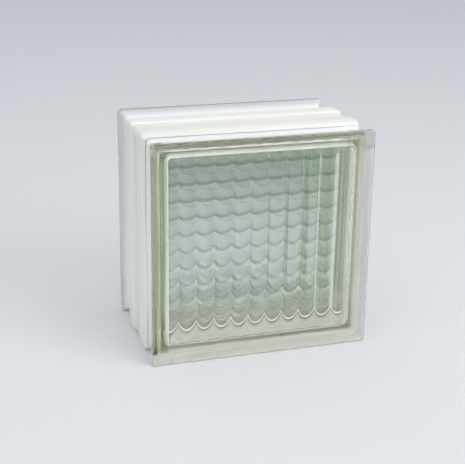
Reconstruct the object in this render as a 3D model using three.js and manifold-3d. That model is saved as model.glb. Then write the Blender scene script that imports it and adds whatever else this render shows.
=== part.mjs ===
// Hollow pressed-glass block: two dish-shaped half shells fused rim to rim, fluted inside at
// right angles to each other, with a cream coating in the channel round the four edges.
//
// Millimetres, +Z up. The block stands on its edge: its faces look along -Y (front) and +Y
// (back), and the origin is the centre of its underside.

import * as THREE from 'three';
import { mergeVertices } from 'three/addons/utils/BufferGeometryUtils.js';
import Module from 'manifold-3d';

// Overall size
const WIDTH = 145;
const HEIGHT = 145;
const DEPTH = 95;

// Face flange: the clear lip round both faces, whose back slopes down into the channel
const FLANGE_EDGE = 3.5;
const FLANGE_BACK_SLOPE = Math.PI / 4;
const FLANGE_CORNER = 2.7;
const FLANGE_EDGE_ROUND = 0.8;

// Channel outside the glass, as insets from the flange's outline and distances from the face
const GROOVE_INSET = 7.4;
const GROOVE_ROOT_ROUND = 0.8;
const GROOVE_END = 12;
const CREST_INSET = 0.9;
const CREST_START = 28;
const CREST_END = 38;
const VALLEY_START = 40;
const VALLEY_INSET = 2.1;
const BODY_CORNER = 2.4;

// Hollow inside each shell
const PLATE_THICKNESS = 8.2;
const HOLLOW_INSET = 10.1;
const HOLLOW_DRAFT = 1.2;
const HOLLOW_CORNER = 6;
const HOLLOW_FILLET = 7.5;
const HOLLOW_MITRE = 0.5;

// Flutes on the inner face of each plate: upright at the front, level and deeper at the back
const FLUTE_PITCH = 11.5;
const FRONT_FLUTE_RISE = 1.6;
const BACK_FLUTE_RISE = 2.2;
const FLUTE_OFFSET = 3.3;

// Edge coating
const COATING_THICKNESS = 0.6;

// Facets
const CORNER_FACETS = 3;
const PROFILE_FACETS = 6;
const FLUTE_FACETS = 4;

const wasm = await Module();
wasm.setup();

// A point of a side profile is (inset from the flange's outline, distance from the face).
// This one follows the outside of a half shell, from its face to the seam.
function outerProfile() {
  const round = FLANGE_EDGE_ROUND;
  const root = GROOVE_ROOT_ROUND;
  const slopeEnd = FLANGE_EDGE + (GROOVE_INSET - round) * Math.tan(FLANGE_BACK_SLOPE);
  const path = new THREE.Path();
  path.moveTo(round, 0);
  path.quadraticCurveTo(0, 0, 0, round);
  path.lineTo(0, FLANGE_EDGE - round);
  path.quadraticCurveTo(0, FLANGE_EDGE - round / 3, round, FLANGE_EDGE);
  path.lineTo(GROOVE_INSET - root, slopeEnd - root);
  path.quadraticCurveTo(GROOVE_INSET, slopeEnd, GROOVE_INSET, GROOVE_END);
  const shoulder = (GROOVE_END + CREST_START) / 2;
  path.bezierCurveTo(GROOVE_INSET, shoulder, CREST_INSET, shoulder, CREST_INSET, CREST_START);
  path.lineTo(CREST_INSET, CREST_END);
  const step = (CREST_END + VALLEY_START) / 2;
  path.bezierCurveTo(CREST_INSET, step, VALLEY_INSET, step, VALLEY_INSET, VALLEY_START);
  path.lineTo(VALLEY_INSET, DEPTH / 2);
  return path.getPoints(PROFILE_FACETS);
}

// The hollow of a half shell, from the plate's inner face to the seam.
function hollowProfile() {
  const wallStart = PLATE_THICKNESS + HOLLOW_FILLET;
  const path = new THREE.Path();
  path.moveTo(HOLLOW_INSET + HOLLOW_FILLET, PLATE_THICKNESS);
  path.quadraticCurveTo(HOLLOW_INSET, PLATE_THICKNESS, HOLLOW_INSET, wallStart);
  path.lineTo(HOLLOW_INSET - HOLLOW_DRAFT, DEPTH / 2);
  return path.getPoints(PROFILE_FACETS);
}

// Counterclockwise outline of a face-shaped section, seen from the front.
function outline(inset, corner) {
  const x = WIDTH / 2 - inset - corner;
  const z = HEIGHT / 2 - inset - corner;
  const shape = new THREE.Shape();
  shape.absarc(x, z, corner, 0, Math.PI / 2);
  shape.absarc(-x, z, corner, Math.PI / 2, Math.PI);
  shape.absarc(-x, -z, corner, Math.PI, Math.PI * 1.5);
  shape.absarc(x, -z, corner, Math.PI * 1.5, Math.PI * 2);
  return shape.getPoints(CORNER_FACETS);
}

// Closed solid through sections, each {inset, distance, corner}, in order from the front.
function loft(sections) {
  const rings = sections.map(({ inset, corner }) => outline(inset, corner));
  const count = rings[0].length;
  const positions = [];
  rings.forEach((ring, level) => {
    const y = sections[level].distance - DEPTH / 2;
    ring.forEach((point) => positions.push(point.x, y, point.y));
  });
  const indices = [];
  for (let level = 0; level + 1 < rings.length; level += 1) {
    for (let i = 0; i < count; i += 1) {
      const a = level * count + i;
      const b = level * count + ((i + 1) % count);
      indices.push(a, a + count, b, b, a + count, b + count);
    }
  }
  const last = (rings.length - 1) * count;
  THREE.ShapeUtils.triangulateShape(rings[0], []).forEach(([a, b, c]) => {
    indices.push(a, b, c);
    indices.push(last + a, last + c, last + b);
  });
  const geometry = new THREE.BufferGeometry();
  geometry.setAttribute('position', new THREE.Float32BufferAttribute(positions, 3));
  geometry.setIndex(indices);
  return geometry;
}

function toSolid(geometry) {
  const bare = geometry.clone();
  bare.deleteAttribute('normal');
  bare.deleteAttribute('uv');
  const merged = mergeVertices(bare);
  const vertProperties = new Float32Array(merged.attributes.position.array);
  const triVerts = new Uint32Array(merged.index.array);
  return new wasm.Manifold(new wasm.Mesh({ numProp: 3, vertProperties, triVerts }));
}

function toGeometry(solid) {
  const { vertProperties, triVerts } = solid.getMesh();
  const geometry = new THREE.BufferGeometry();
  geometry.setAttribute('position', new THREE.BufferAttribute(vertProperties, 3));
  geometry.setIndex(new THREE.BufferAttribute(triVerts, 1));
  geometry.computeVertexNormals();
  return geometry;
}

// Sections of the outside of a half shell, from its face to the seam.
function outerSections() {
  return outerProfile().map((point) => {
    const corner = point.y <= FLANGE_EDGE ? FLANGE_CORNER : BODY_CORNER;
    return { inset: point.x, distance: point.y, corner };
  });
}

// Everything behind a row of flutes that bulge into the hollow and run along Z.
function flutedBlock(across, along, rise) {
  const halfChord = FLUTE_PITCH / 2;
  const radius = (halfChord ** 2 + rise ** 2) / (2 * rise);
  const swing = Math.asin(halfChord / radius);
  const count = Math.ceil(across / FLUTE_PITCH) + 2;
  const first = FLUTE_OFFSET - FLUTE_PITCH * Math.ceil(count / 2);
  const centreDistance = PLATE_THICKNESS + rise - radius;
  const shape = new THREE.Shape();
  shape.moveTo(first + count * FLUTE_PITCH, DEPTH);
  shape.lineTo(first, DEPTH);
  for (let i = 0; i < count; i += 1) {
    const middle = first + (i + 0.5) * FLUTE_PITCH;
    shape.absarc(middle, centreDistance, radius, Math.PI / 2 + swing, Math.PI / 2 - swing, true);
  }
  const options = { depth: along, bevelEnabled: false, curveSegments: FLUTE_FACETS };
  const geometry = new THREE.ExtrudeGeometry(shape, options);
  geometry.translate(0, -DEPTH / 2, -along / 2);
  return geometry;
}

// Half shell that faces the front, hollowed as far as the given flutes.
function halfShell(flutes) {
  const hollow = hollowProfile().map((point) => {
    const shrunk = HOLLOW_CORNER - Math.max(point.x - HOLLOW_INSET, 0);
    return { inset: point.x, distance: point.y, corner: Math.max(shrunk, HOLLOW_MITRE) };
  });
  const cavity = toSolid(loft(hollow)).intersect(toSolid(flutes));
  return toSolid(loft(outerSections())).subtract(cavity);
}

function frontHalf() {
  return halfShell(flutedBlock(WIDTH, HEIGHT, FRONT_FLUTE_RISE));
}

// The back half shell before it is turned to face the back, with its flutes level.
function backHalf() {
  const flutes = flutedBlock(HEIGHT, WIDTH, BACK_FLUTE_RISE);
  flutes.rotateY(Math.PI / 2);
  return halfShell(flutes);
}

// Coating over the channel, from the edge of one flange to the edge of the other.
function edgeCoating() {
  const front = outerSections().filter((section) => section.distance >= FLANGE_EDGE);
  const back = front.slice(0, -1).reverse().map((section) => {
    return { ...section, distance: DEPTH - section.distance };
  });
  const glass = [...front, ...back];
  const skin = glass.map((section) => {
    return { ...section, inset: section.inset - COATING_THICKNESS };
  });
  return toSolid(loft(skin)).subtract(toSolid(loft(glass)));
}

const glassMaterial = new THREE.MeshStandardMaterial({
  color: 0xb4c6b6,
  roughness: 0.05,
  metalness: 0,
});

const coatingMaterial = new THREE.MeshStandardMaterial({
  color: 0xe6e4da,
  roughness: 0.85,
  metalness: 0,
});

function part(name, solid, material) {
  const mesh = new THREE.Mesh(toGeometry(solid), material);
  mesh.name = name;
  return mesh;
}

const block = new THREE.Group();
block.position.z = HEIGHT / 2;

block.add(part('front_half_shell', frontHalf(), glassMaterial));

const backHalfShell = part('back_half_shell', backHalf(), glassMaterial);
backHalfShell.rotation.z = Math.PI;
block.add(backHalfShell);

block.add(part('edge_coating', edgeCoating(), coatingMaterial));

export default block;
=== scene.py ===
"""Looks of the hollow glass block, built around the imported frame.

The block stands on its edge with its front face towards -Y. The real block is one fused body of
glass, so one mesh stands for the two CAD half shells: a smooth outer surface and the sealed
hollow inside it, with the flutes at right angles to each other. The cream coating is a second
mesh in the channel round the four edges. Lengths are in millimetres until a mesh is made.

The glass refracts for real. The marks that this alone didn't give are painted on it by object
coordinates, where the photograph's viewpoint shows them.
"""

import math
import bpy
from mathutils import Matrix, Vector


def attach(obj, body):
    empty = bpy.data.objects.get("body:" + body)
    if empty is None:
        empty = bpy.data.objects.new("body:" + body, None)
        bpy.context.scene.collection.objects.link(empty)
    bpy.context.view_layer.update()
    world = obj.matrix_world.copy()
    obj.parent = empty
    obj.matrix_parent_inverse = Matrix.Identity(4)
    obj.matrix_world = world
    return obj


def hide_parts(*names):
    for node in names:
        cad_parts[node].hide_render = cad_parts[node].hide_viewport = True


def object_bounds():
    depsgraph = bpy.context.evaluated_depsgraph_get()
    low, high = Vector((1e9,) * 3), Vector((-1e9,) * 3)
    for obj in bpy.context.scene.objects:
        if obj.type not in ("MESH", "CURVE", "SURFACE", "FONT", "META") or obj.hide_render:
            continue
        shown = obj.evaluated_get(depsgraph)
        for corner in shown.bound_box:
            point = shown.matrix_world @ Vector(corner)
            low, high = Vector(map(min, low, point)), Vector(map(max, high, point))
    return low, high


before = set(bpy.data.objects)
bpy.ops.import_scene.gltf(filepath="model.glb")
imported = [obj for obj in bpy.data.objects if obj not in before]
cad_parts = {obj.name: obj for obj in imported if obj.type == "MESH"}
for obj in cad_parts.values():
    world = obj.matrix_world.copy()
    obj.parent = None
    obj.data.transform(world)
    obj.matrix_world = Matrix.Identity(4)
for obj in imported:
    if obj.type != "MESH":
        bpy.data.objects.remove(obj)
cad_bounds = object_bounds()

from types import SimpleNamespace

import bmesh
import bpy
import numpy as np
from mathutils import Matrix, Vector

MM = 0.001

# Sizes of the frame's own solids
lowest, highest = (np.array(corner) / MM for corner in cad_bounds)
WIDTH, DEPTH, HEIGHT = (highest - lowest).tolist()

# Flange and channel, as in the CAD source, but for a slope that ends 0.1 mm further in
FLANGE_THICKNESS = 3.5
FLANGE_CORNER = 2.7
FLANGE_EDGE_ROUND = 0.8
FLANGE_LIP = 0.9 * FLANGE_EDGE_ROUND
FLANGE_LIP_PULL = 0.3 * FLANGE_EDGE_ROUND
FACE_ROWS = (3.0 * FLANGE_EDGE_ROUND, 1.3 * FLANGE_EDGE_ROUND, FLANGE_EDGE_ROUND)
GROOVE_INSET = 7.4
GROOVE_SLOPE_END = 10.2
GROOVE_ROOT_ROUND = 0.8
GROOVE_END = 12.0
CREST_INSET = 0.9
CREST_START = 28.0
CREST_END = 38.0
VALLEY_START = 40.0
SEAM_INSET = 2.1
BODY_CORNER = 2.4

# Hollow: its inset is 1.1 mm less than in the CAD source, and only here has it a bead
PLATE_THICKNESS = 8.2
HOLLOW_INSET = 9.0
HOLLOW_DRAFT = 1.2
HOLLOW_CORNER = 6.0
HOLLOW_FILLET = 7.5
MITRE_CORNER = 0.5
CREASE_BLEND = 0.06
CREASE_REACH = 6 * CREASE_BLEND
BEAD_HEIGHT = 0.8
BEAD_REACH = 3.5
BEAD_START = 1.5 * BEAD_REACH
WELD_DISTANCE = 0.02
SEAM_TOLERANCE = 0.0001
TINY = 1e-9

# Flutes on the inner faces: upright at the front, level and deeper at the back
FLUTE_PITCH = 11.5
FLUTE_OFFSET = 3.3
FRONT_FLUTE_RISE = 1.6
BACK_FLUTE_RISE = 2.2
FLUTE_BLEND = 0.12

# Coating: its inside is off the glass, except on the right and the bottom, away from the faces
COATING_THICKNESS = 0.6
COATING_GAP = 0.1
COATING_SINK = 0.1
SUNK_FROM = 8.9

# Steps of the meshes
EDGE_STEPS = 6
ROOT_STEPS = 8
CREST_STEPS = 16
VALLEY_STEPS = 6
CORNER_STEPS = 8
SIDE_STEPS = 6
FILLET_STEPS = 22
WALL_STEPS = 4
BEAD_STEPS = 9
STEPS_PER_FLUTE = 15
PLATE_CORNER_STEPS = 5

# Glass. In the marks below, a zone (a, b, c, d) is 0 up to a, 1 from b to c, and 0 from d on,
# and a pair (a, b) is where a smooth step is 0 and where it is 1. Phases are shifted by whole
# pitches, so that their fractions are taken of positive numbers.
GLASS_IOR = 1.52
ABSORB_COLOR = (0.52, 0.60, 0.36, 1)
ABSORB_DENSITY = 8.0
GLASS_WAVE_SCALE = (60.0, 220.0, 60.0)
GLASS_WAVE_DETAIL = 2.0
GLASS_WAVE = 0.012
PHASE_SHIFT = 20.0
MIX_FIRST, MIX_SECOND, MIX_RESULT = 6, 7, 2

# Depths from the front face: the front plate's fluted side, with the fillet round it, and the
# back plate
FILLET_ZONE = (PLATE_THICKNESS - 0.6, PLATE_THICKNESS - 0.2, PLATE_THICKNESS + 5.5,
               PLATE_THICKNESS + 6.0)
BACK_PLATE = (DEPTH - 11.5, DEPTH - 10.5, DEPTH - 3.5, DEPTH - 3.0)

# Tint by depth, and by height: greener glass further in, and painted shade that darkens it
# higher up, most on the back plate
WHITE = (1.0, 1.0, 1.0)
CLEAR_TINT = (0.94, 0.92, 0.945)
CLEAR_FRONT = (PLATE_THICKNESS + 8.0, PLATE_THICKNESS + 4.0)
CLEAR_BACK = BACK_PLATE[2:]
HIGH_UP = (38.0, 118.0)
WALL_ZONE = (44.0, 48.0, 60.0, 85.0)
WALL_HIGH_SHADE_TINT = (0.82, 0.88, 0.82)
BACK_PLATE_LOW_TINT = (0.76, 0.93, 0.75)
BACK_PLATE_HIGH_SHADE_TINT = (0.15, 0.27, 0.13)

# Rows on the front plate: painted shade, in lines that sag between the grooves of the upright
# flutes
ROWS_ZONE = (PLATE_THICKNESS - 0.6, PLATE_THICKNESS - 0.2, PLATE_THICKNESS + 2.2,
             PLATE_THICKNESS + 2.6)
ROWS_END = WIDTH / 2 - HOLLOW_INSET - 1.5
ROWS_FADE = 1.0
BOW_POWER = 2.2
ROW_PITCH = 11.0
ROW_START = 16.7
ROW_SAG_LOW, ROW_SAG_HIGH = 5.0, 1.5
ROW_LINE = (0.26, 0.13)
ROW_LINE_LOW_TINT, ROW_LINE_HIGH_TINT = 0.72, 0.56
ROW_SHADE = (0.75, 0.0)
ROW_SHADE_LOW = 0.3
ROW_SHADE_TINT = 0.68
SECOND_LINE = (0.09, 0.04)
SECOND_LINE_HEIGHTS = (60.0, 46.0)
SECOND_LINE_TINT = 0.84
RIGHT_CELLS = (24.0, 30.0)
RIGHT_CELLS_TINT = (0.86, 1.0, 0.86)
LAST_CELL = (50.0, 51.5)
LAST_CELL_TINT = (0.74, 0.84, 0.74)
COLUMN_SCALE = (240.0, 1.0, 7.0)
COLUMN_DETAIL = 3.0
COLUMN_LEVELS = (0.3, 0.7)
COLUMN_TINT = 0.90
# Gleams: painted highlights, frosted patches under each row's line
GLEAM_ZONE = (0.5, 0.85, 0.96, 1.0)
GLEAM_SCALE = (45.0, 1.0, 60.0)
GLEAM_LEVELS = (0.25, 0.75)
GLEAM_FROST = 0.4
GLEAM_LOSS_HIGH = 0.75

# Scalloped line over the foot of the window: a painted white highlight, between a line of
# painted shade and a thin one.
# The lines' zones, the band's foot and the flow zone are heights over the scallop's level.
SCALLOP_LEVEL = 19.0
SCALLOP_SAG = 6.3
UNDER_LINE = (-0.8, -0.4, 0.4, 0.8)
UNDER_LINE_TINT = 0.35
WHITE_LINE = (0.25, 0.55, 1.6, 2.2)
OVER_LINE = (2.1, 2.4, 2.7, 3.2)
OVER_LINE_TINT = 0.72

# Beige band round the window, painted light that stands for the lit coating seen through the
# glass: strong at the foot and the right, weak at the top and the left
BAND_FOOT = (0.2, -0.2)
BAND_TOP = (HEIGHT - 13.1, HEIGHT - 11.9)
BAND_TOP_SAG = 3.0
BAND_RIGHT = (WIDTH / 2 - 15.3, WIDTH / 2 - 14.3)
BAND_LEFT = (10.1 - WIDTH / 2, 9.5 - WIDTH / 2)
BAND_TINT = (1.0, 0.98, 0.91)
BAND_STRONG_FROST = 0.62
BAND_WEAK_FROST = 0.2
# Painted shade: a darker line that wanders along the band's foot
SHADE_LINE_LEVEL = 14.4
SHADE_LINE_HALF_WIDTH = (0.45, 0.1)
SHADE_LINE_SCALE = 45.0
SHADE_LINE_LEVELS = (0.4, 0.55)
SHADE_LINE_TINT = (0.72, 0.64, 0.60)

# Rim round the window, a painted highlight in frosted white, by inset from a rounded square that
# is moved in at the left
RIM_ROUND = 13.5
RIM_LEFT = 1.4
RIM_ZONE = (8.6, 8.9, 10.8, 11.2)
RIM_DEPTHS = (PLATE_THICKNESS - 1.0, PLATE_THICKNESS - 0.5, PLATE_THICKNESS + 8.5,
              PLATE_THICKNESS + 9.0)
PAINTED_HIGHLIGHT_TINT = (1.0, 0.99, 0.95)
RIM_SHADE = (11.0, 11.3, 11.9, 12.2)
RIM_SHADE_TINT = 0.72

# Fused seam and back wall, on the hollow's side of the glass: a painted highlight on the seam's
# bead, and a painted shade line beside it
HOLLOW_SIDE = (SEAM_INSET + 3.0, SEAM_INSET + 4.0)
BEAD_HALF_WIDTH = (BEAD_REACH, BEAD_REACH - 0.8)
BEAD_HIGHLIGHT_FROST = 0.2
SEAM_LINE = (41.2, 41.8, 43.2, 43.8)
SEAM_SHADE_TINT = 0.8
BACK_WALL = (62.0, 72.0, DEPTH - 12.0, DEPTH - 11.0)
BACK_WALL_FROST = 0.42

# Flow lines of the glass over the scalloped line, painted as frosted highlights, which wander
# with a slow noise
DRIFT_SCALE = 50.0
DRIFT_DETAIL = 2.0
DRIFT = 4.0
FLOW_ZONE = (3.0, 4.0, 14.0, 24.0)
FLOW_PITCH = 2.4
FLOW_LINE = (0.2, 0.0)
FLOW_SCALE = 90.0
FLOW_LEVELS = (0.42, 0.62)
FLOW_HAZE = 0.25
FLOW_FROST = 0.6
FLOW_AND_GLEAM_TINT = (0.95, 1.0, 0.955)
FLOW_TINT_FULL = 0.3

# Upright stripes at the flutes' grooves, painted highlights with outlines of painted shade,
# wider to the right, and the loop of painted shade beside the last one
STRIPE_REACH = (14.0, 50.0)
STRIPE_POWER = 2.5
STRIPE_NARROW, STRIPE_WIDE = 0.2, 1.25
STRIPE_FADE = (0.2, -0.2)
STRIPE_HIGHLIGHT_FROST = 0.75
STRIPE_LINE_GAP = 0.45
STRIPE_LINE = (0.4, 0.15)
STRIPE_LINE_REACH = (12.0, 24.0)
STRIPE_LINE_TINT = 0.62
LOOP_SIDES = (51.6, 54.8)
LOOP_LINE = (0.5, 0.15)
LOOP_DRIFT = 0.5
LOOP_TINT = 0.38

# Marks on the front face. The left band, its foot and the two corners are painted shade, and
# the band's streaks are painted light and shade.
FACE = (0.4, 0.2)
LEFT_BAND = (10.3 - WIDTH / 2, 9.7 - WIDTH / 2)
LEFT_BAND_HEIGHTS = (8.4, 9.4, HEIGHT - 8.0, HEIGHT - 7.0)
LEFT_BAND_DARK = (0.50, 0.53, 0.40)
LEFT_BAND_LIGHT = (0.86, 0.88, 0.80)
LEFT_BAND_SCALE = (900.0, 1.0, 14.0)
LEFT_BAND_DETAIL = 2.0
LEFT_BAND_LEVELS = (0.42, 0.7)
LEFT_FOOT = (17.0, 11.0)
LEFT_FOOT_SHADE_TINT = (0.62, 0.64, 0.50)
LOW_FLANGE = (9.0, 8.0)
LOW_FLANGE_TINT = (0.97, 0.955, 0.87)
RIGHT_STRIP = (60.2, 60.8, 64.3, 65.7)
RIGHT_STRIP_HEIGHTS = (9.0, 10.0)
RIGHT_STRIP_TINT = (0.89, 0.86, 0.74)
PATCH = (52.0, 54.0, 62.0, 64.0)
PATCH_HEIGHTS = (134.5, 135.5, 142.5, 143.5)
PATCH_TINT = (0.74, 0.72, 0.54)
CORNER_SHADE_FROST = 0.45
LOW_CORNER = (26.0 - WIDTH / 2, 6.0 - WIDTH / 2)
LOW_CORNER_HEIGHTS = (9.4, 7.6)
LOW_CORNER_SHADE_TINT = (0.66, 0.665, 0.63)
TOP_CORNER = (62.0, 66.0)
TOP_CORNER_HEIGHTS = (128.5, 139.5)
TOP_CORNER_SHADE_TINT = (0.53, 0.54, 0.53)
TOP_CORNER_TINT_FULL = 0.6 * CORNER_SHADE_FROST

# Coating's looks: brush streaks along the depth, and thin lines at its steps
COAT_COLOR = (0.975, 0.965, 0.935)
COAT_EDGE_COLOR = (0.985, 0.99, 1.0)
COAT_EDGE = (24.6, 25.4)
COAT_WANDER_SCALE = 30.0
COAT_WANDER_DETAIL = 2.0
COAT_WANDER = 1.6
EDGE_LINE = (0.5, 0.2)
EDGE_LINE_STREAKS = (0.7, 0.4)
EDGE_LINE_TINT = 0.4
MIDDLE_LINE = (0.6, 0.2)
MIDDLE_LINE_STREAKS = (0.66, 0.4)
MIDDLE_LINE_SHIFT = 1.0
MIDDLE_LINE_HEIGHTS = (HEIGHT - 6.0, HEIGHT - 9.0)
MIDDLE_LINE_TINT = 0.62
STREAK_SCALE = (9.0, 700.0, 9.0)
STREAK_DETAIL = 5.0
STREAK_LEVELS = (0.36, 0.6)
STREAK_TINT = 0.93
STREAK_HEIGHT = 0.12
GRAIN_SCALE = 900.0
GRAIN_DETAIL = 3.0
GRAIN_IN_RELIEF = 0.15
COAT_ROUGHNESS = 0.45
GRAIN_IN_ROUGHNESS = 0.4
SHINE_THROUGH = 0.4

# Floor, turned to the camera's azimuth
FLOOR_COLOR = (0.68, 0.69, 0.71, 1)
FLOOR_ROUGHNESS = 0.9
FLOOR_HALF_WIDTH = 2500.0
FLOOR_NEAR, FLOOR_FAR = -1500.0, 2000.0
FLOOR_TURN = -17.8

# Camera: angles in degrees, fitted with the place and focal length to the block's corners in
# the photograph. The clip distances are in metres.
AZIMUTH, ELEVATION, ROLL = 17.786, 19.479, -0.908
CAMERA_PLACE = (-211.98, -595.48 - DEPTH / 2, 307.08)
FOCAL_PIXELS = 1073.68
IMAGE_WIDTH = 465
SENSOR_WIDTH = 36.0
CLIP_START, CLIP_END = 0.01, 20

# Light, in metres and watts. The sky's zones are parts of a direction of length 1.
SKY_COLOR = (0.80, 0.84, 0.88)
SKY_STRENGTH = 0.8
SKY_BACK = (0.2, 0.6)
SKY_BACK_HEIGHTS = (0.5, 0.25)
SKY_BACK_TINT = 0.9
SKY_FRONT = (-0.1, -0.7)
SKY_FRONT_HEIGHTS = (0.55, 0.15)
LAMP_COLOR = (1.0, 0.99, 0.98)
TOP_LAMP_PLACE = (-0.2, -0.3, 1.4)
TOP_LAMP_SIZE = (1.6, 1.6)
TOP_LAMP_POWER = 8.0
FRONT_LAMP_PLACE = (0.9, -1.2, 0.7)
FRONT_LAMP_SIZE = (1.2, 1.2)
FRONT_LAMP_POWER = 12.0
BLOCK_FOOT = (0, 0, 0)
BLOCK_MIDDLE = (0, 0, 0.07)
MAX_BOUNCES = 64


def arc(start, control, end, steps):
    """Points of a quadratic curve after its start."""
    t = np.linspace(0, 1, steps + 1)[1:, None]
    start, control, end = map(np.array, (start, control, end))
    return list(start * (1 - t) ** 2 + 2 * control * t * (1 - t) + end * t ** 2)


def wave(start, end, steps):
    """Points after start of an S-shaped curve that leaves and arrives along the depth."""
    t = np.linspace(0, 1, steps + 1)[1:]
    inset = start[0] + (end[0] - start[0]) * (3 * t ** 2 - 2 * t ** 3)
    distance = start[1] + (end[1] - start[1]) * t
    return [np.array(point) for point in zip(inset, distance)]


def channel_profile():
    """The glass under the coating as (inset, distance from the face), from flange to flange."""
    slope_end = (GROOVE_INSET - GROOVE_ROOT_ROUND, GROOVE_SLOPE_END - GROOVE_ROOT_ROUND)
    points = [np.array((FLANGE_LIP, FLANGE_THICKNESS)), np.array(slope_end)]
    root_end = (GROOVE_INSET, GROOVE_END)
    points += arc(slope_end, (GROOVE_INSET, GROOVE_SLOPE_END), root_end, ROOT_STEPS)
    points += wave(points[-1], (CREST_INSET, CREST_START), CREST_STEPS)
    points.append(np.array((CREST_INSET, CREST_END)))
    points += wave(points[-1], (SEAM_INSET, VALLEY_START), VALLEY_STEPS)
    points.append(np.array((SEAM_INSET, DEPTH / 2)))
    return points + [np.array((inset, DEPTH - distance)) for inset, distance in points[-2::-1]]


def flange_profile():
    """The flange as (inset, distance from the face), from the face to the top of its slope."""
    edge = FLANGE_EDGE_ROUND
    back = FLANGE_THICKNESS
    points = [np.array((inset, 0.0)) for inset in FACE_ROWS]
    points += arc(points[-1], (0, 0), (0, edge), EDGE_STEPS)
    points.append(np.array((0, back - edge)))
    points += arc(points[-1], (0, back - FLANGE_LIP_PULL), (FLANGE_LIP, back), EDGE_STEPS)
    return points


def outline(inset, corner):
    """Counterclockwise points of a face-shaped section, seen from the front."""
    reach = np.array((WIDTH, HEIGHT)) / 2 - inset - corner
    signs = np.array(((1, 1), (-1, 1), (-1, -1), (1, -1)))
    points = []
    for quarter in range(4):
        for step in range(CORNER_STEPS + 1):
            angle = (quarter + step / CORNER_STEPS) * math.pi / 2
            bend = corner * np.array((math.cos(angle), math.sin(angle)))
            points.append(signs[quarter] * reach + bend)
        start = points[-1]
        end = signs[(quarter + 1) % 4] * reach + bend
        points += [start + (end - start) * (step / SIDE_STEPS) for step in range(1, SIDE_STEPS)]
    return np.array(points)


def loft(sections):
    """Vertices, quads and ring size through (inset, distance, corner), front to back."""
    vertices = []
    for inset, distance, corner in sections:
        ring = outline(inset, corner)
        vertices += [(x, distance - DEPTH / 2, z + HEIGHT / 2) for x, z in ring]
    count = len(ring)
    faces = []
    for level in range(len(sections) - 1):
        for i in range(count):
            a = level * count + i
            b = level * count + (i + 1) % count
            faces.append((a, a + count, b + count, b))
    return vertices, faces, count


def smooth_maximum(first, second, blend):
    """The greater of two values, rounded where they cross."""
    return 0.5 * (first + second + np.sqrt((first - second) ** 2 + blend ** 2))


def flute_depth(across, height):
    """Distance of the fluted surface from the outer face, from the place across the flutes."""
    half = FLUTE_PITCH / 2
    radius = (half ** 2 + height ** 2) / (2 * height)
    phase = (across - FLUTE_OFFSET) / FLUTE_PITCH
    nearest = np.floor(phase)

    def flute(index):
        offset = (phase - index - 0.5) * FLUTE_PITCH
        return np.sqrt(np.maximum(radius ** 2 - offset ** 2, 0.0)) - radius + height

    neighbour = np.maximum(flute(nearest - 1), flute(nearest + 1))
    return PLATE_THICKNESS + smooth_maximum(flute(nearest), neighbour, FLUTE_BLEND)


def hollow_profile():
    """(inset, distance from the face) from the plate to the seam, with the seam's bead."""
    plate_end = (HOLLOW_INSET + HOLLOW_FILLET, PLATE_THICKNESS)
    wall_start = np.array((HOLLOW_INSET, PLATE_THICKNESS + HOLLOW_FILLET))
    seam = np.array((HOLLOW_INSET - HOLLOW_DRAFT, DEPTH / 2))
    points = [np.array(plate_end)]
    points += arc(plate_end, (HOLLOW_INSET, PLATE_THICKNESS), wall_start, FILLET_STEPS)
    for step in range(1, WALL_STEPS):
        points.append(wall_start + (seam - wall_start) * step / WALL_STEPS)
    last = points[-1]
    for step in range(1, BEAD_STEPS + 1):
        distance = DEPTH / 2 - BEAD_START * (1 - step / BEAD_STEPS)
        on_wall = last[0] + (seam[0] - last[0]) * (distance - last[1]) / (seam[1] - last[1])
        from_seam = min((DEPTH / 2 - distance) / BEAD_REACH, 1.0)
        bead = (math.cos(from_seam * math.pi) + 1) * BEAD_HEIGHT / 2
        points.append(np.array((on_wall + bead, distance)))
    return points


def side_samples(half, straight_half):
    """Coordinates across the plate's grid: fine in the straight part, a few at each corner."""
    count = int(round(2 * straight_half / FLUTE_PITCH * STEPS_PER_FLUTE))
    middle = np.linspace(-straight_half, straight_half, count + 1)
    ends = np.linspace(straight_half, half, PLATE_CORNER_STEPS + 1)[1:]
    return np.concatenate((-ends[::-1], middle, ends))


def grid_border(n):
    """Indices round the border of an n by n grid, counterclockwise from its first point."""
    up, down = range(n - 1), range(n - 1, 0, -1)
    border = [i for i in up] + [j * n + n - 1 for j in up]
    return border + [(n - 1) * n + i for i in down] + [j * n for j in down]


def round_corners(x, z, inner, straight, corner, half):
    """Where a point of the square grid lands when its corners are rounded."""
    over_x, over_z = np.maximum(abs(x) - inner, 0), np.maximum(abs(z) - inner, 0)
    reach = np.maximum(over_x, over_z)
    share = np.minimum(over_x, over_z) / np.maximum(reach, TINY)
    angle = share * math.pi / 4
    long, short = (reach / (half - inner) * corner * f(angle) for f in (np.cos, np.sin))
    wide = over_x >= over_z
    px = np.minimum(abs(x), inner) * straight / inner + np.where(wide, long, short)
    pz = np.minimum(abs(z), inner) * straight / inner + np.where(wide, short, long)
    return np.stack([np.copysign(px, x), np.copysign(pz, z)], axis=1)


def hollow_faces(n, border, ring_count):
    """Quads of a grid and of the rings of points that carry on from its border."""
    faces = []
    for j in range(n - 1):
        for i in range(n - 1):
            a = j * n + i
            faces.append((a, a + n, a + n + 1, a + 1))
    count = len(border)
    previous = border
    for ring in range(ring_count):
        current = [n * n + ring * count + i for i in range(count)]
        for i in range(count):
            j = (i + 1) % count
            faces.append((previous[i], previous[j], current[j], current[i]))
        previous = current
    return faces


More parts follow.
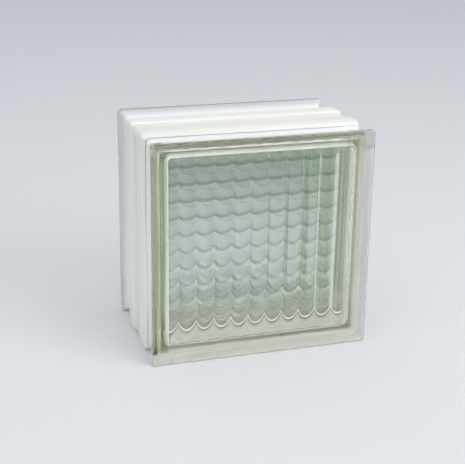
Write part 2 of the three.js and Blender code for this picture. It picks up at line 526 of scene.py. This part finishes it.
def hollow_half(back):
    """Vertices and quads of one half of the hollow, its normals towards the air inside."""
    half = WIDTH / 2 - HOLLOW_INSET - HOLLOW_FILLET
    inner = half - MITRE_CORNER
    samples = side_samples(half, inner)
    n = len(samples)
    grid_x, grid_z = (grid.ravel() for grid in np.meshgrid(samples, samples))
    border = grid_border(n)
    points = [round_corners(grid_x, grid_z, inner, inner, half - inner, half)]
    depth = [np.full(n * n, PLATE_THICKNESS)]
    rings = hollow_profile()[1:]
    for inset, distance in rings:
        corner = max(HOLLOW_CORNER - max(inset - HOLLOW_INSET, 0), MITRE_CORNER)
        straight = WIDTH / 2 - inset - corner
        ring = round_corners(grid_x[border], grid_z[border], inner, straight, corner, half)
        points.append(ring)
        depth.append(np.full(len(border), distance))
    points = np.concatenate(points)
    depth = np.concatenate(depth)
    if back:
        fluted = flute_depth(points[:, 1], BACK_FLUTE_RISE)
    else:
        fluted = flute_depth(points[:, 0], FRONT_FLUTE_RISE)
    blended = smooth_maximum(depth, fluted, CREASE_BLEND)
    depth = np.where(depth > fluted + CREASE_REACH, depth, blended)
    depth[-len(border):] = DEPTH / 2
    vertices = np.stack([points[:, 0], depth - DEPTH / 2, points[:, 1] + HEIGHT / 2], axis=1)
    if back:
        vertices[:, :2] *= -1
    return vertices, hollow_faces(n, border, len(rings))


def make_object(name, vertices, faces):
    """Smooth-shaded object from vertices in millimetres."""
    mesh = bpy.data.meshes.new(name)
    mesh.from_pydata((np.array(vertices) * MM).tolist(), [], faces)
    mesh.shade_smooth()
    mesh.update()
    piece = bpy.data.objects.new(name, mesh)
    bpy.context.scene.collection.objects.link(piece)
    return piece


def weld_seam(piece):
    """Join the two halves of the hollow, which meet at half depth."""
    mesh = bmesh.new()
    mesh.from_mesh(piece.data)
    seam = [vertex for vertex in mesh.verts if abs(vertex.co.y) < SEAM_TOLERANCE * MM]
    bmesh.ops.remove_doubles(mesh, verts=seam, dist=WELD_DISTANCE * MM)
    mesh.to_mesh(piece.data)
    mesh.free()


def glass_body():
    """The fused glass: its closed outside, and the closed hollow inside it."""
    front = [(inset, distance, FLANGE_CORNER) for inset, distance in flange_profile()]
    middle = [(inset, distance, BODY_CORNER) for inset, distance in channel_profile()[1:-1]]
    back = [(inset, DEPTH - distance, corner) for inset, distance, corner in front[::-1]]
    vertices, faces, count = loft(front + middle + back)
    total = len(vertices)
    faces.append(tuple(range(count)))
    faces.append(tuple(range(total - 1, total - count - 1, -1)))
    for is_back in (False, True):
        half_vertices, half_faces = hollow_half(is_back)
        base = len(vertices)
        vertices += list(map(tuple, half_vertices))
        faces += [tuple(base + i for i in face) for face in half_faces]
    piece = make_object("glass_body", vertices, faces)
    weld_seam(piece)
    return piece


def coating_body():
    """Coating over the channel: a closed ring from one flange to the other."""
    path = channel_profile()
    outer = [(inset - COATING_THICKNESS, distance, BODY_CORNER) for inset, distance in path]
    inner = [(inset - COATING_GAP, distance, BODY_CORNER) for inset, distance in path[::-1]]
    vertices, faces, count = loft(outer + inner + outer[:1])
    kept = len(vertices) - count
    vertices = vertices[:kept]
    shift = COATING_GAP + COATING_SINK
    for i in range(len(outer) * count, kept):
        x, y, z = vertices[i]
        if SUNK_FROM <= y + DEPTH / 2 <= DEPTH - SUNK_FROM:
            vertices[i] = (x - shift * (x > 0), y, z + shift * (z < HEIGHT / 2))
    faces = [tuple(i % kept for i in face) for face in faces]
    return make_object("coating", vertices, faces)


def plug(tree, socket, value):
    """Give an input a field, a colour or a number. In a colour input, a number is a grey."""
    if isinstance(value, Field):
        tree.links.new(value.output, socket)
    elif isinstance(value, tuple):
        socket.default_value = (*value, 1)
    elif socket.type == "RGBA":
        socket.default_value = (value, value, value, 1)
    else:
        socket.default_value = value


class Field:
    """A value that varies over a surface: a node's output that takes part in arithmetic."""

    def __init__(self, tree, output):
        self.tree = tree
        self.output = output

    def calc(self, operation, *operands):
        """Result of a Math node on fields and numbers."""
        node = self.tree.nodes.new("ShaderNodeMath")
        node.operation = operation
        for socket, operand in zip(node.inputs, operands):
            plug(self.tree, socket, operand)
        return Field(self.tree, node.outputs[0])

    def __add__(self, other):
        return self.calc("ADD", self, other)

    def __sub__(self, other):
        return self.calc("SUBTRACT", self, other)

    def __rsub__(self, other):
        return self.calc("SUBTRACT", other, self)

    def __mul__(self, other):
        return self.calc("MULTIPLY", self, other)

    def __truediv__(self, other):
        return self.calc("DIVIDE", self, other)

    def __pow__(self, other):
        return self.calc("POWER", self, other)

    def __abs__(self):
        return self.calc("ABSOLUTE", self)

    def fraction(self):
        return self.calc("FRACT", self)

    def most(self, other):
        """The greater of two values."""
        return self.calc("MAXIMUM", self, other)

    def least(self, other):
        """The smaller of two values."""
        return self.calc("MINIMUM", self, other)

    def rise(self, start, end):
        """Smooth step from 0 at start to 1 at end, where end may be the smaller."""
        node = self.tree.nodes.new("ShaderNodeMapRange")
        node.interpolation_type = "SMOOTHSTEP"
        node.inputs["From Min"].default_value = start
        node.inputs["From Max"].default_value = end
        self.tree.links.new(self.output, node.inputs["Value"])
        return Field(self.tree, node.outputs["Result"])

    def zone(self, start, full, last, end):
        """1 from full to last, and 0 up to start and from end on."""
        return self.rise(start, full) * self.rise(end, last)


def mix(first, second, factor, operation="MIX"):
    """The first colour where the factor is 0, and the second where it is 1."""
    node = factor.tree.nodes.new("ShaderNodeMix")
    node.data_type = "RGBA"
    node.blend_type = operation
    plug(factor.tree, node.inputs["Factor"], factor)
    plug(factor.tree, node.inputs[MIX_FIRST], first)
    plug(factor.tree, node.inputs[MIX_SECOND], second)
    return Field(factor.tree, node.outputs[MIX_RESULT])


def darken(colour, tint, factor):
    """The colour, multiplied by a tint where the factor is 1."""
    return mix(colour, tint, factor, "MULTIPLY")


def axes(tree, output_name):
    """The three parts of a texture coordinate."""
    coordinates = tree.nodes.new("ShaderNodeTexCoord")
    split = tree.nodes.new("ShaderNodeSeparateXYZ")
    tree.links.new(coordinates.outputs[output_name], split.inputs[0])
    return [Field(tree, split.outputs[axis]) for axis in "XYZ"]


def place_in_block(tree):
    """The surface point's x, depth from the front face and height, in millimetres."""
    x, y, z = (part * (1 / MM) for part in axes(tree, "Object"))
    return x, y + DEPTH / 2, z


def noise(tree, scale, detail=1.0):
    """Noise texture, with one scale or one for each axis, in turns a metre."""
    coordinates = tree.nodes.new("ShaderNodeTexCoord")
    mapping = tree.nodes.new("ShaderNodeMapping")
    mapping.inputs["Scale"].default_value = scale if isinstance(scale, tuple) else (scale,) * 3
    tree.links.new(coordinates.outputs["Object"], mapping.inputs["Vector"])
    texture = tree.nodes.new("ShaderNodeTexNoise")
    texture.inputs["Scale"].default_value = 1.0
    texture.inputs["Detail"].default_value = detail
    tree.links.new(mapping.outputs["Vector"], texture.inputs["Vector"])
    return Field(tree, texture.outputs["Fac"])


def bump(height, millimetres):
    """Normal of a bump of the given height."""
    node = height.tree.nodes.new("ShaderNodeBump")
    node.inputs["Strength"].default_value = 1.0
    node.inputs["Distance"].default_value = millimetres * MM
    plug(height.tree, node.inputs["Height"], height)
    return Field(height.tree, node.outputs["Normal"])


def principled(name):
    """A new material, its node tree and its Principled shader."""
    material = bpy.data.materials.new(name)
    material.use_nodes = True
    return material, material.node_tree, material.node_tree.nodes["Principled BSDF"]


def rim_inset(x, z):
    """Inset from a rounded square as big as the block, moved in at the left."""
    sideways = (x.most(RIM_LEFT - x) - (WIDTH / 2 - RIM_ROUND)).most(0.0)
    upright = (abs(z - HEIGHT / 2) - (HEIGHT / 2 - RIM_ROUND)).most(0.0)
    return RIM_ROUND - (sideways * sideways + upright * upright) ** 0.5


def glass_places(tree):
    """Where a point of the glass lies: places in millimetres, and masks from 0 to 1."""
    x, depth, z = place_in_block(tree)
    across = ((x - FLUTE_OFFSET) / FLUTE_PITCH + PHASE_SHIFT).fraction()
    bow = abs((across - 0.5) * 2.0) ** BOW_POWER
    lift = z - bow * SCALLOP_SAG
    over_scallop = lift - SCALLOP_LEVEL
    inset = rim_inset(x, z)
    left, right = x.rise(*BAND_LEFT), x.rise(*BAND_RIGHT)
    foot = over_scallop.rise(*BAND_FOOT)
    top = (z + bow * BAND_TOP_SAG).rise(*BAND_TOP)
    on_fillet = depth.zone(*FILLET_ZONE)
    on_rows = depth.zone(*ROWS_ZONE)
    for coordinate in (x, z - HEIGHT / 2):
        on_rows *= abs(coordinate).rise(ROWS_END, ROWS_END - ROWS_FADE)
    return SimpleNamespace(
        tree=tree, x=x, depth=depth, z=z,
        high=z.rise(*HIGH_UP),
        across=across, bow=bow, lift=lift, over_scallop=over_scallop, inset=inset,
        left=left, right=right, foot=foot, top=top,
        on_rows=on_rows, on_fillet=on_fillet,
        between_sides=on_fillet * (1 - right.most(left)),
        between_ends=1 - foot.most(top),
        in_hollow=inset.rise(*HOLLOW_SIDE),
        on_face=depth.rise(*FACE),
        in_last_cell=x.rise(*LAST_CELL),
        drift=(noise(tree, DRIFT_SCALE, DRIFT_DETAIL) - 0.5) * DRIFT,
    )


def depth_tint(at):
    """Tint by depth: clear at both faces; further in, greener glass, with painted shade that
    darkens it with height, most on the back plate.
    """
    # Painted shade: the walls darker and greener higher up
    tint = mix(WHITE, mix(WHITE, WALL_HIGH_SHADE_TINT, at.high), at.depth.zone(*WALL_ZONE))
    tint = mix(tint, CLEAR_TINT, at.depth.rise(*CLEAR_FRONT))
    # Painted shade: the back plate darkest high up
    back_plate = mix(BACK_PLATE_LOW_TINT, BACK_PLATE_HIGH_SHADE_TINT, at.high)
    tint = mix(tint, back_plate, at.depth.zone(*BACK_PLATE))
    return mix(tint, CLEAR_TINT, at.depth.rise(*CLEAR_BACK))


def row_phase(at):
    """Place within a row of the front plate, from 0 at its line to 1 at the next."""
    sag = at.high * (ROW_SAG_HIGH - ROW_SAG_LOW) + ROW_SAG_LOW
    return ((at.z - at.bow * sag - ROW_START) / ROW_PITCH + PHASE_SHIFT).fraction()


def row_tint(at, phase):
    """Painted shade of the rows: a dark line and the shade over it, and a second line low down.
    """
    line = mix(ROW_LINE_LOW_TINT, ROW_LINE_HIGH_TINT, at.high)
    tint = mix(WHITE, line, phase.rise(*ROW_LINE))
    strength = at.high * (1 - ROW_SHADE_LOW) + ROW_SHADE_LOW
    tint = darken(tint, ROW_SHADE_TINT, phase.rise(*ROW_SHADE) * strength)
    second = abs(phase - 0.5).rise(*SECOND_LINE) * at.z.rise(*SECOND_LINE_HEIGHTS)
    tint = darken(tint, SECOND_LINE_TINT, second)
    tint = darken(tint, RIGHT_CELLS_TINT, at.x.rise(*RIGHT_CELLS))
    tint = mix(tint, LAST_CELL_TINT, at.in_last_cell)
    columns = noise(at.tree, COLUMN_SCALE, COLUMN_DETAIL).rise(*COLUMN_LEVELS)
    return darken(tint, COLUMN_TINT, 1 - columns)


def gleams(at, phase):
    """Painted highlight: frost of the light gleam under each row's line, weaker high up."""
    patches = noise(at.tree, GLEAM_SCALE).rise(*GLEAM_LEVELS)
    gleam = phase.zone(*GLEAM_ZONE) * patches * GLEAM_FROST
    return gleam * (at.on_rows * (1 - at.in_last_cell)) * (1 - at.high * GLEAM_LOSS_HIGH)


def flow_lines(at):
    """Frost of the broken, wandering flow lines over the scalloped line, painted as highlights.
    """
    phase = ((at.lift + at.drift) / FLOW_PITCH + PHASE_SHIFT).fraction()
    line = abs(phase - 0.5).rise(*FLOW_LINE)
    line *= noise(at.tree, FLOW_SCALE).rise(*FLOW_LEVELS)
    zone = at.over_scallop.zone(*FLOW_ZONE)
    return line.most(FLOW_HAZE) * zone * at.between_sides * FLOW_FROST


def band_colour(at):
    """Beige of the band, painted light, with a darker line of painted shade that wanders along
    its foot.
    """
    shade_line = abs(at.lift + at.drift - SHADE_LINE_LEVEL).rise(*SHADE_LINE_HALF_WIDTH)
    shade_line *= noise(at.tree, SHADE_LINE_SCALE).rise(*SHADE_LINE_LEVELS)
    return mix(BAND_TINT, SHADE_LINE_TINT, shade_line)


def stripe_marks(at):
    """Frost of the upright stripes, painted highlights, and the masks of their dark outlines and
    of the loop, painted shade.
    """
    reach = at.x.rise(*STRIPE_REACH)
    width = reach ** STRIPE_POWER * (STRIPE_WIDE - STRIPE_NARROW) + STRIPE_NARROW
    to_groove = (0.5 - abs(at.across - 0.5)) * FLUTE_PITCH
    where = at.between_sides * at.between_ends
    frost = (to_groove - width).rise(*STRIPE_FADE) * reach * where * STRIPE_HIGHLIGHT_FROST
    outlines = abs(to_groove - (width + STRIPE_LINE_GAP)).rise(*STRIPE_LINE)
    outlines *= at.x.rise(*STRIPE_LINE_REACH)
    wandering = at.x + at.drift * LOOP_DRIFT
    to_loop = abs(wandering - LOOP_SIDES[0]).least(abs(wandering - LOOP_SIDES[1]))
    return frost, outlines * where, to_loop.rise(*LOOP_LINE) * where


def window_marks(at, tint):
    """The tint with the marks seen round the window, mostly painted highlights and painted
    shade, and their frost.
    """
    phase = row_phase(at)
    # Painted shade of the rows
    tint = darken(tint, row_tint(at, phase), at.on_rows)
    # Painted shade: the dark lines under and over the scalloped line
    under = at.over_scallop.zone(*UNDER_LINE) * at.between_sides
    tint = darken(tint, UNDER_LINE_TINT, under)
    tint = darken(tint, OVER_LINE_TINT, at.over_scallop.zone(*OVER_LINE) * at.between_sides)
    # Painted highlight of the rim, and a painted shade line inside it
    rim = at.inset.zone(*RIM_ZONE) * at.depth.zone(*RIM_DEPTHS)
    rim_shade = at.inset.zone(*RIM_SHADE) * at.on_fillet
    tint = darken(tint, RIM_SHADE_TINT, rim_shade)
    # Painted shade: a dark line beside the seam's bead
    tint = darken(tint, SEAM_SHADE_TINT, at.depth.zone(*SEAM_LINE) * at.in_hollow)
    # Stripes: painted highlights; their outlines and the loop: painted shade
    stripes, outlines, loop = stripe_marks(at)
    tint = darken(tint, STRIPE_LINE_TINT, outlines)
    tint = darken(tint, LOOP_TINT, loop)

    back_wall = at.depth.zone(*BACK_WALL) * at.in_hollow * BACK_WALL_FROST
    # Flow lines and gleams, frosted as painted highlights, and the back walls' haze
    soft = flow_lines(at).most(gleams(at, phase)).most(back_wall)
    tint = mix(tint, FLOW_AND_GLEAM_TINT, soft.rise(0.0, FLOW_TINT_FULL))
    # Painted highlights in frosted white: the seam's bead, the scalloped white line, the rim and
    # the stripes
    bead = abs(at.depth - DEPTH / 2).rise(*BEAD_HALF_WIDTH) * at.in_hollow * BEAD_HIGHLIGHT_FROST
    white_line = at.over_scallop.zone(*WHITE_LINE) * at.between_sides
    frost = rim.most(white_line).most(bead).most(stripes)
    tint = mix(tint, PAINTED_HIGHLIGHT_TINT, frost)

    # Painted light: the beige band, strong at the foot and the right, weak at the top and the
    # left
    strong = at.foot.most(at.right) * BAND_STRONG_FROST
    weak = at.top.most(at.left) * BAND_WEAK_FROST
    band = strong.most(weak) * at.on_fillet * (1 - under) * (1 - rim_shade) * (1 - rim)
    tint = mix(tint, band_colour(at), band)
    return tint, frost.most(soft).most(band)


def face_marks(at, tint, frost):
    """The tint and frost with the marks on the front face, over the flange and the left wall,
    painted shade among them.
    """
    # Painted shade of the left band, with lighter and darker streaks, and darker at its foot
    left_band = at.x.rise(*LEFT_BAND) * at.z.zone(*LEFT_BAND_HEIGHTS) * at.on_face
    streaks = noise(at.tree, LEFT_BAND_SCALE, LEFT_BAND_DETAIL).rise(*LEFT_BAND_LEVELS)
    tint = mix(tint, mix(LEFT_BAND_DARK, LEFT_BAND_LIGHT, streaks), left_band)
    tint = darken(tint, LEFT_FOOT_SHADE_TINT, left_band * at.z.rise(*LEFT_FOOT))
    tint = darken(tint, LOW_FLANGE_TINT, at.z.rise(*LOW_FLANGE) * at.on_face)
    strip = at.x.zone(*RIGHT_STRIP) * at.z.rise(*RIGHT_STRIP_HEIGHTS) * at.on_face
    tint = darken(tint, RIGHT_STRIP_TINT, strip)
    patch = at.x.zone(*PATCH) * at.z.zone(*PATCH_HEIGHTS) * at.on_face
    tint = mix(tint, PATCH_TINT, patch)
    # Painted shade at the two corners
    low = at.x.rise(*LOW_CORNER) * at.z.rise(*LOW_CORNER_HEIGHTS) * at.on_face * CORNER_SHADE_FROST
    tint = mix(tint, LOW_CORNER_SHADE_TINT, low.rise(0.0, CORNER_SHADE_FROST))
    top = at.x.rise(*TOP_CORNER) * at.z.rise(*TOP_CORNER_HEIGHTS) * at.on_face * CORNER_SHADE_FROST
    tint = mix(tint, TOP_CORNER_SHADE_TINT, top.rise(0.0, TOP_CORNER_TINT_FULL))
    return tint, frost.most(low).most(top)


def glass_material():
    """Refracting glass, tinted by depth and marked with painted highlights and painted shade,
    and less clear where it is frosted.
    """
    material, tree, shader = principled("pressed_glass")
    at = glass_places(tree)
    tint, frost = window_marks(at, depth_tint(at))
    tint, frost = face_marks(at, tint, frost)
    wave_height = noise(tree, GLASS_WAVE_SCALE, GLASS_WAVE_DETAIL)
    plug(tree, shader.inputs["Base Color"], tint)
    shader.inputs["Transmission Weight"].default_value = 1.0
    plug(tree, shader.inputs["Transmission Weight"], 1 - frost)
    plug(tree, shader.inputs["Normal"], bump(wave_height, GLASS_WAVE))
    shader.inputs["Roughness"].default_value = 0.0
    shader.inputs["IOR"].default_value = GLASS_IOR
    volume = tree.nodes.new("ShaderNodeVolumeAbsorption")
    volume.inputs["Color"].default_value = ABSORB_COLOR
    volume.inputs["Density"].default_value = ABSORB_DENSITY
    tree.links.new(volume.outputs[0], tree.nodes["Material Output"].inputs["Volume"])
    return material


def coating_colour(from_seam, z, streaks, wander):
    """Cream, whiter in the channel, with brush streaks and thin lines at the steps."""
    edge = abs(from_seam) + wander
    colour = mix(COAT_COLOR, COAT_EDGE_COLOR, edge.rise(*COAT_EDGE))
    colour = darken(colour, STREAK_TINT, 1 - streaks.rise(*STREAK_LEVELS))
    line = abs(edge - COAT_EDGE[1]).rise(*EDGE_LINE) * streaks.rise(*EDGE_LINE_STREAKS)
    colour = darken(colour, EDGE_LINE_TINT, line)
    line = abs(from_seam + (wander + MIDDLE_LINE_SHIFT)).rise(*MIDDLE_LINE)
    line *= streaks.rise(*MIDDLE_LINE_STREAKS)
    return darken(colour, MIDDLE_LINE_TINT, line * z.rise(*MIDDLE_LINE_HEIGHTS))


def coating_material():
    """Matt cream coating, brushed on along the edges, which lets some light through."""
    material, tree, shader = principled("cream_coating")
    _, depth, z = place_in_block(tree)
    streaks = noise(tree, STREAK_SCALE, STREAK_DETAIL)
    grain = noise(tree, GRAIN_SCALE, GRAIN_DETAIL)
    wander = (noise(tree, COAT_WANDER_SCALE, COAT_WANDER_DETAIL) - 0.5) * COAT_WANDER
    colour = coating_colour(depth - DEPTH / 2, z, streaks, wander)
    plug(tree, shader.inputs["Base Color"], colour)
    plug(tree, shader.inputs["Roughness"], grain * GRAIN_IN_ROUGHNESS + COAT_ROUGHNESS)
    relief = streaks + grain * GRAIN_IN_RELIEF
    plug(tree, shader.inputs["Normal"], bump(relief, STREAK_HEIGHT))
    through = tree.nodes.new("ShaderNodeBsdfTranslucent")
    plug(tree, through.inputs["Color"], colour)
    both = tree.nodes.new("ShaderNodeMixShader")
    both.inputs["Fac"].default_value = SHINE_THROUGH
    tree.links.new(shader.outputs[0], both.inputs[1])
    tree.links.new(through.outputs[0], both.inputs[2])
    tree.links.new(both.outputs[0], tree.nodes["Material Output"].inputs["Surface"])
    return material


def floor_material():
    """Plain pale paper, one colour all over."""
    material, _, shader = principled("pale_floor")
    shader.inputs["Base Color"].default_value = FLOOR_COLOR
    shader.inputs["Roughness"].default_value = FLOOR_ROUGHNESS
    return material


def floor_sheet():
    """Flat floor that runs well past the picture's top edge."""
    x, near, far = FLOOR_HALF_WIDTH, FLOOR_NEAR, FLOOR_FAR
    corners = [(-x, near, 0), (x, near, 0), (x, far, 0), (-x, far, 0)]
    floor = make_object("floor", corners, [(0, 1, 2, 3)])
    floor.rotation_euler.z = math.radians(FLOOR_TURN)
    floor.data.materials.append(floor_material())


def camera():
    """Camera at the photo's viewing angle, for a 465 x 464 image."""
    azimuth, elevation, roll = (math.radians(a) for a in (AZIMUTH, ELEVATION, ROLL))
    ahead = np.array((math.sin(azimuth) * math.cos(elevation),
                      math.cos(azimuth) * math.cos(elevation), -math.sin(elevation)))
    level = np.array((math.cos(azimuth), -math.sin(azimuth), 0.0))
    down = np.cross(ahead, level)
    right = math.cos(roll) * level + math.sin(roll) * down
    lower = math.cos(roll) * down - math.sin(roll) * level
    data = bpy.data.cameras.new("camera")
    data.sensor_width = SENSOR_WIDTH
    data.sensor_fit = "HORIZONTAL"
    data.lens = FOCAL_PIXELS / IMAGE_WIDTH * SENSOR_WIDTH
    data.clip_start = CLIP_START
    data.clip_end = CLIP_END
    holder = bpy.data.objects.new("camera", data)
    bpy.context.scene.collection.objects.link(holder)
    rows = np.stack([right, -lower, -ahead, np.array(CAMERA_PLACE) * MM], axis=1).tolist()
    holder.matrix_world = Matrix(rows + [[0, 0, 0, 1]])
    bpy.context.scene.camera = holder


def area_light(name, location, target, size, power):
    """Rectangular lamp that points from its location at the target, both in metres."""
    data = bpy.data.lights.new(name, "AREA")
    data.shape = "RECTANGLE"
    data.size, data.size_y = size
    data.energy = power
    data.color = LAMP_COLOR
    lamp = bpy.data.objects.new(name, data)
    bpy.context.scene.collection.objects.link(lamp)
    lamp.location = location
    direction = Vector(target) - Vector(location)
    lamp.rotation_euler = direction.to_track_quat("-Z", "Y").to_euler()


def lighting():
    """Soft sky, a little darker low down at the back and brighter in front, and two lamps."""
    world = bpy.data.worlds.new("studio")
    world.use_nodes = True
    bpy.context.scene.world = world
    tree = world.node_tree
    background = tree.nodes["Background"]
    _, y, z = axes(tree, "Generated")
    at_back = y.rise(*SKY_BACK) * z.rise(*SKY_BACK_HEIGHTS)
    plug(tree, background.inputs["Color"], darken(SKY_COLOR, SKY_BACK_TINT, at_back))
    in_front = y.rise(*SKY_FRONT) * abs(z).rise(*SKY_FRONT_HEIGHTS)
    plug(tree, background.inputs["Strength"], (in_front + 1.0) * SKY_STRENGTH)
    area_light("top_soft", TOP_LAMP_PLACE, BLOCK_FOOT, TOP_LAMP_SIZE, TOP_LAMP_POWER)
    area_light("front_soft", FRONT_LAMP_PLACE, BLOCK_MIDDLE, FRONT_LAMP_SIZE, FRONT_LAMP_POWER)


camera()
glass = glass_body()
glass.data.materials.append(glass_material())
coating = coating_body()
coating.data.materials.append(coating_material())
floor_sheet()
lighting()

# Light crosses many glass surfaces, and a glossy filter would blur what shows through them
scene = bpy.context.scene
scene.view_settings.view_transform = "Standard"
scene.cycles.max_bounces = MAX_BOUNCES
scene.cycles.transmission_bounces = MAX_BOUNCES
scene.cycles.glossy_bounces = MAX_BOUNCES
scene.cycles.diffuse_bounces = MAX_BOUNCES
scene.cycles.blur_glossy = 0.0

for piece, slot_name, nodes in (
    (glass, "pressed_glass", ("front_half_shell", "back_half_shell")),
    (coating, "edge_coating", ("edge_coating",)),
):
    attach(piece, "root")
    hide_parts(*nodes)
